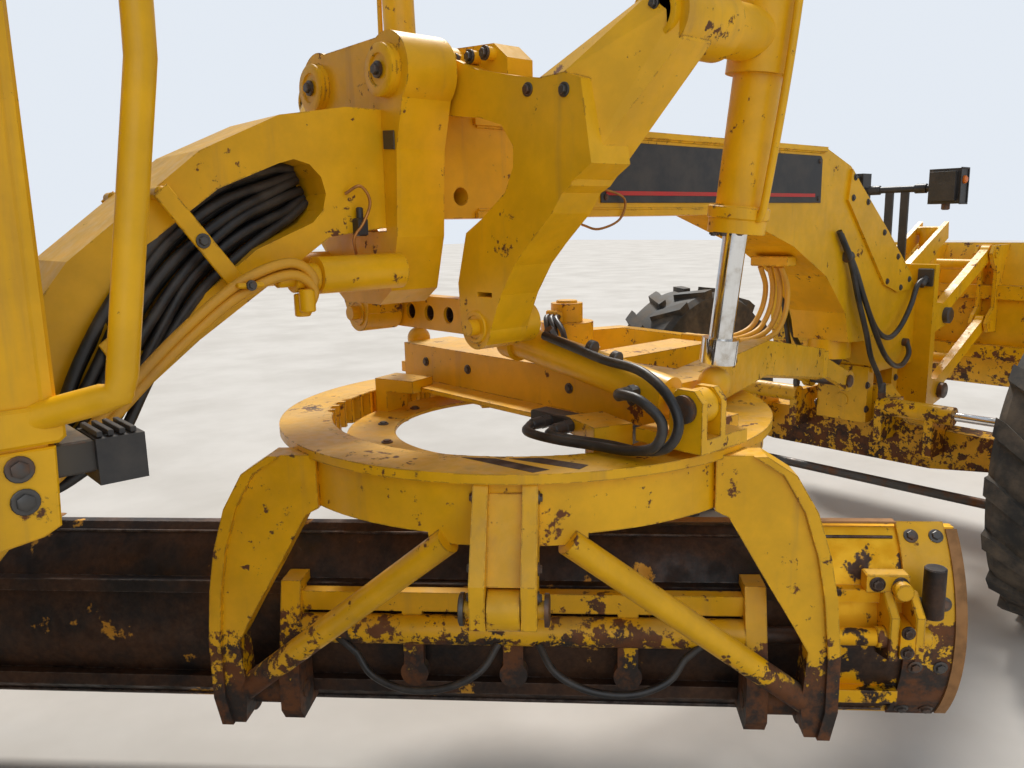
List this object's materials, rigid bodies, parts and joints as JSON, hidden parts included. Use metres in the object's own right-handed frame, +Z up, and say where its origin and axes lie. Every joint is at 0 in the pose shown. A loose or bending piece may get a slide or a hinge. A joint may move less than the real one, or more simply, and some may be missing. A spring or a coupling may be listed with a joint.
{
  "type": "motor grader",
  "caption": "Articulated motor grader with a box front frame, enclosed cab, tandem rear drive, slewing toothed circle with a curved blade, and a small push blade on a front lift group",
  "frame": {"origin": "on the ground under the centre of the bounding box", "axes": "+X is forward, +Y is to the machine's left, +Z is up"},
  "size_m": [8.9084, 2.8424, 3.3136],
  "materials": {
    "yellow_paint": "worn yellow paint, rusty at the edges",
    "dark_paint": "dark chassis paint",
    "bare_steel": "dull oiled steel",
    "worn_steel": "worn bare steel with rust",
    "rod_chrome": "polished rod",
    "black_plastic": "matte black",
    "hose_rubber": "dusty rubber",
    "glass": "clear safety glass",
    "seat_cloth": "woven cloth",
    "tyre": "dusty rubber"
  },
  "bodies": {
    "front_frame": {"front_frame": "yellow_paint", "lift_saddle": "yellow_paint", "lift_arms": "yellow_paint", "link_bar": "yellow_paint", "frame_hoses": "hose_rubber", "lamps": "black_plastic", "dozer_bracket": "yellow_paint", "cab_floor": "dark_paint", "cab_shell": "yellow_paint", "cab_roof": "yellow_paint", "cab_glass": "glass", "seat": "seat_cloth", "front_axle": "yellow_paint"},
    "rear_frame": {"rear_frame": "dark_paint", "engine": "bare_steel", "hood": "yellow_paint", "rear_grille": "black_plastic", "exhaust": "bare_steel", "tandem_axle": "yellow_paint"},
    "swing_rod_left": {"swing_rod_left": "rod_chrome"},
    "swing_rod_right": {"swing_rod_right": "rod_chrome"},
    "knuckle_left": {"knuckle_left": "yellow_paint"},
    "knuckle_right": {"knuckle_right": "yellow_paint"},
    "tie_rod": {"tie_rod": "bare_steel"},
    "steer_rod_left": {"steer_rod_left": "rod_chrome"},
    "steer_rod_right": {"steer_rod_right": "rod_chrome"},
    "wheel_front_left": {"tyre_front_left": "tyre", "rim_front_left": "yellow_paint"},
    "wheel_front_right": {"tyre_front_right": "tyre", "rim_front_right": "yellow_paint"},
    "wheel_mid_left": {"tyre_mid_left": "tyre", "rim_mid_left": "yellow_paint"},
    "wheel_mid_right": {"tyre_mid_right": "tyre", "rim_mid_right": "yellow_paint"},
    "wheel_rear_left": {"tyre_rear_left": "tyre", "rim_rear_left": "yellow_paint"},
    "wheel_rear_right": {"tyre_rear_right": "tyre", "rim_rear_right": "yellow_paint"},
    "cab_door_left": {"cab_door_left": "yellow_paint"},
    "cab_door_right": {"cab_door_right": "yellow_paint"},
    "engine_door_left": {"engine_door_left": "yellow_paint"},
    "engine_door_right": {"engine_door_right": "yellow_paint"},
    "drawbar_ball": {"drawbar_ball": "bare_steel"},
    "drawbar": {"drawbar": "yellow_paint", "circle_drive": "yellow_paint"},
    "lift_barrel_left": {"lift_barrel_left": "yellow_paint"},
    "lift_rod_left": {"lift_rod_left": "rod_chrome"},
    "lift_barrel_right": {"lift_barrel_right": "yellow_paint"},
    "lift_rod_right": {"lift_rod_right": "rod_chrome"},
    "shift_barrel": {"shift_barrel": "yellow_paint"},
    "shift_rod": {"shift_rod": "rod_chrome"},
    "circle": {"circle": "yellow_paint"},
    "blade_carrier": {"blade_carrier": "yellow_paint"},
    "tip_rod": {"tip_rod": "rod_chrome"},
    "moldboard": {"moldboard": "worn_steel", "cutting_edge": "worn_steel"},
    "dozer_lower_link": {"dozer_lower_link": "yellow_paint"},
    "dozer_upper_link": {"dozer_upper_link": "yellow_paint"},
    "dozer_blade": {"dozer_blade": "yellow_paint"},
    "dozer_rod": {"dozer_rod": "rod_chrome"}
  },
  "joints": [
    {"name": "swing", "type": "hinge", "parent": "front_frame", "child": "rear_frame", "pos_m": [-1.67421, -0.17118, 1.04], "axis": [0, 0, 1], "range_deg": [-20, 20]},
    {"name": "swing_rod_left", "type": "slide", "parent": "front_frame", "child": "swing_rod_left", "axis": [1, 0, 0], "range_m": [-0.1441, 0.1441]},
    {"name": "swing_rod_right", "type": "slide", "parent": "front_frame", "child": "swing_rod_right", "axis": [1, 0, 0], "range_m": [-0.1441, 0.1441]},
    {"name": "steering", "type": "hinge", "parent": "front_frame", "child": "knuckle_left", "pos_m": [3.12579, 0.62882, 0.685], "axis": [0, 0, -1], "range_deg": [-50, 50]},
    {"name": "steering_right", "type": "hinge", "parent": "front_frame", "child": "knuckle_right", "pos_m": [3.12579, -0.97118, 0.685], "axis": [0, 0, -1], "range_deg": [-50.1, 50.1]},
    {"name": "tie_rod_pin", "type": "hinge", "parent": "knuckle_left", "child": "tie_rod", "pos_m": [2.89579, 0.62882, 0.505], "axis": [0, 0, -1], "range_deg": [-50.1, 50.1]},
    {"name": "steer_rod_slide_left", "type": "slide", "parent": "front_frame", "child": "steer_rod_left", "axis": [0, 1, 0], "range_m": [-0.146, 0.146]},
    {"name": "steer_rod_slide_right", "type": "slide", "parent": "front_frame", "child": "steer_rod_right", "axis": [0, 1, 0], "range_m": [-0.146, 0.146]},
    {"name": "wheel_front_left_spin", "type": "hinge", "parent": "knuckle_left", "child": "wheel_front_left", "pos_m": [3.12579, 0.85882, 0.685], "axis": [0, 1, 0], "continuous": true},
    {"name": "wheel_front_right_spin", "type": "hinge", "parent": "knuckle_right", "child": "wheel_front_right", "pos_m": [3.12579, -1.20118, 0.685], "axis": [0, 1, 0], "continuous": true},
    {"name": "wheel_mid_left_spin", "type": "hinge", "parent": "rear_frame", "child": "wheel_mid_left", "pos_m": [-2.03321, 0.85882, 0.685], "axis": [0, 1, 0], "continuous": true},
    {"name": "wheel_mid_right_spin", "type": "hinge", "parent": "rear_frame", "child": "wheel_mid_right", "pos_m": [-2.03321, -1.20118, 0.685], "axis": [0, 1, 0], "continuous": true},
    {"name": "wheel_rear_left_spin", "type": "hinge", "parent": "rear_frame", "child": "wheel_rear_left", "pos_m": [-3.55521, 0.85882, 0.685], "axis": [0, 1, 0], "continuous": true},
    {"name": "wheel_rear_right_spin", "type": "hinge", "parent": "rear_frame", "child": "wheel_rear_right", "pos_m": [-3.55521, -1.20118, 0.685], "axis": [0, 1, 0], "continuous": true},
    {"name": "cab_door_left_hinge", "type": "hinge", "parent": "front_frame", "child": "cab_door_left", "pos_m": [-1.81821, 0.56282, 2.2], "axis": [0, 0, 1], "range_deg": [0, 90]},
    {"name": "cab_door_right_hinge", "type": "hinge", "parent": "front_frame", "child": "cab_door_right", "pos_m": [-1.81821, -0.90518, 2.2], "axis": [0, 0, -1], "range_deg": [0, 90]},
    {"name": "engine_door_left_hinge", "type": "hinge", "parent": "rear_frame", "child": "engine_door_left", "pos_m": [-3.20421, 0.26082, 1.896], "axis": [1, 0, 0], "range_deg": [0, 90]},
    {"name": "engine_door_right_hinge", "type": "hinge", "parent": "rear_frame", "child": "engine_door_right", "pos_m": [-3.20421, -0.60318, 1.896], "axis": [-1, 0, 0], "range_deg": [0, 90]},
    {"name": "drawbar_yaw", "type": "hinge", "parent": "front_frame", "child": "drawbar_ball", "pos_m": [2.82579, -0.17118, 1.1], "axis": [0, 0, 1], "range_deg": [-8, 1.5]},
    {"name": "blade_lift", "type": "hinge", "parent": "drawbar_ball", "child": "drawbar", "pos_m": [2.82579, -0.17118, 0.99], "axis": [0, 1, 0], "range_deg": [-23, 7.6]},
    {"name": "lift_barrel_left_pivot", "type": "hinge", "parent": "front_frame", "child": "lift_barrel_left", "pos_m": [3.12579, 0.61882, 2.21], "axis": [1, 0, 0], "range_deg": [-3.2, 16.6]},
    {"name": "lift_rod_left_slide", "type": "slide", "parent": "lift_barrel_left", "child": "lift_rod_left", "axis": [-0.0452, -0.1016, -0.9938], "range_m": [-0.2585, 0.7795]},
    {"name": "lift_barrel_right_pivot", "type": "hinge", "parent": "front_frame", "child": "lift_barrel_right", "pos_m": [3.12579, -0.96118, 2.21], "axis": [1, 0, 0], "range_deg": [-3.2, 16.6]},
    {"name": "lift_rod_right_slide", "type": "slide", "parent": "lift_barrel_right", "child": "lift_rod_right", "axis": [-0.0452, 0.1016, -0.9938], "range_m": [-0.2585, 0.7795]},
    {"name": "shift_barrel_pivot", "type": "hinge", "parent": "drawbar", "child": "shift_barrel", "pos_m": [0.70079, -0.96118, 1.31], "axis": [1, 0, 0], "range_deg": [-11.47, 34.58]},
    {"name": "shift_rod_slide", "type": "slide", "parent": "shift_barrel", "child": "shift_rod", "axis": [-0.0361, 0.9845, 0.1716], "range_m": [-0.3035, 0.0575]},
    {"name": "circle_turn", "type": "hinge", "parent": "drawbar", "child": "circle", "pos_m": [0.82579, -0.17118, 1.175], "axis": [0, 0, 1], "range_deg": [-90, 6]},
    {"name": "blade_tip", "type": "hinge", "parent": "circle", "child": "blade_carrier", "pos_m": [0.50142, -0.48883, 0.395], "axis": [-0.6997, 0.7145, 0], "range_deg": [-5, 40]},
    {"name": "tip_rod_slide", "type": "slide", "parent": "circle", "child": "tip_rod", "axis": [0.667, 0.6532, -0.3583], "range_m": [-0.0266, 0.2093]},
    {"name": "blade_sideshift", "type": "slide", "parent": "blade_carrier", "child": "moldboard", "axis": [-0.6997, 0.7145, 0], "range_m": [-1.19, 0.016]},
    {"name": "dozer_lift", "type": "hinge", "parent": "front_frame", "child": "dozer_lower_link", "pos_m": [3.59579, -0.17118, 0.85], "axis": [0, 1, 0], "range_deg": [0, 65]},
    {"name": "dozer_upper_pivot", "type": "hinge", "parent": "front_frame", "child": "dozer_upper_link", "pos_m": [3.59579, -0.17118, 1.25], "axis": [0, 1, 0], "range_deg": [-0.1, 65.1]},
    {"name": "dozer_blade_pin", "type": "hinge", "parent": "dozer_lower_link", "child": "dozer_blade", "pos_m": [4.23021, -0.17118, 1.14583], "axis": [0, 1, 0], "range_deg": [-65.1, 0.1]},
    {"name": "dozer_rod_slide", "type": "slide", "parent": "front_frame", "child": "dozer_rod", "axis": [0, 0, 1], "range_m": [-0.3201, 0.0005]}
  ],
  "couplings": [
    {"joint": "swing_rod_left", "follows": "swing", "m_per_rad": -0.4115},
    {"joint": "swing_rod_right", "follows": "swing", "m_per_rad": 0.4115},
    {"joint": "steering_right", "follows": "steering", "ratio": 1},
    {"joint": "tie_rod_pin", "follows": "steering", "ratio": -1},
    {"joint": "steer_rod_slide_left", "follows": "steering", "m_per_rad": 0.16679},
    {"joint": "steer_rod_slide_right", "follows": "steering", "m_per_rad": 0.16679},
    {"joint": "lift_barrel_left_pivot", "follows": "drawbar_yaw", "ratio": -2.05},
    {"joint": "lift_rod_left_slide", "follows": "blade_lift", "m_per_rad": -1.938},
    {"joint": "lift_barrel_right_pivot", "follows": "drawbar_yaw", "ratio": -2.05},
    {"joint": "lift_rod_right_slide", "follows": "blade_lift", "m_per_rad": -1.938},
    {"joint": "shift_barrel_pivot", "follows": "blade_lift", "ratio": -1.5},
    {"joint": "shift_rod_slide", "follows": "drawbar_yaw", "m_per_rad": 2.17},
    {"joint": "tip_rod_slide", "follows": "blade_tip", "m_per_rad": 0.29904},
    {"joint": "dozer_upper_pivot", "follows": "dozer_lift", "ratio": 1},
    {"joint": "dozer_blade_pin", "follows": "dozer_lift", "ratio": -1},
    {"joint": "dozer_rod_slide", "follows": "dozer_lift", "m_per_rad": -0.28174}
  ]
}
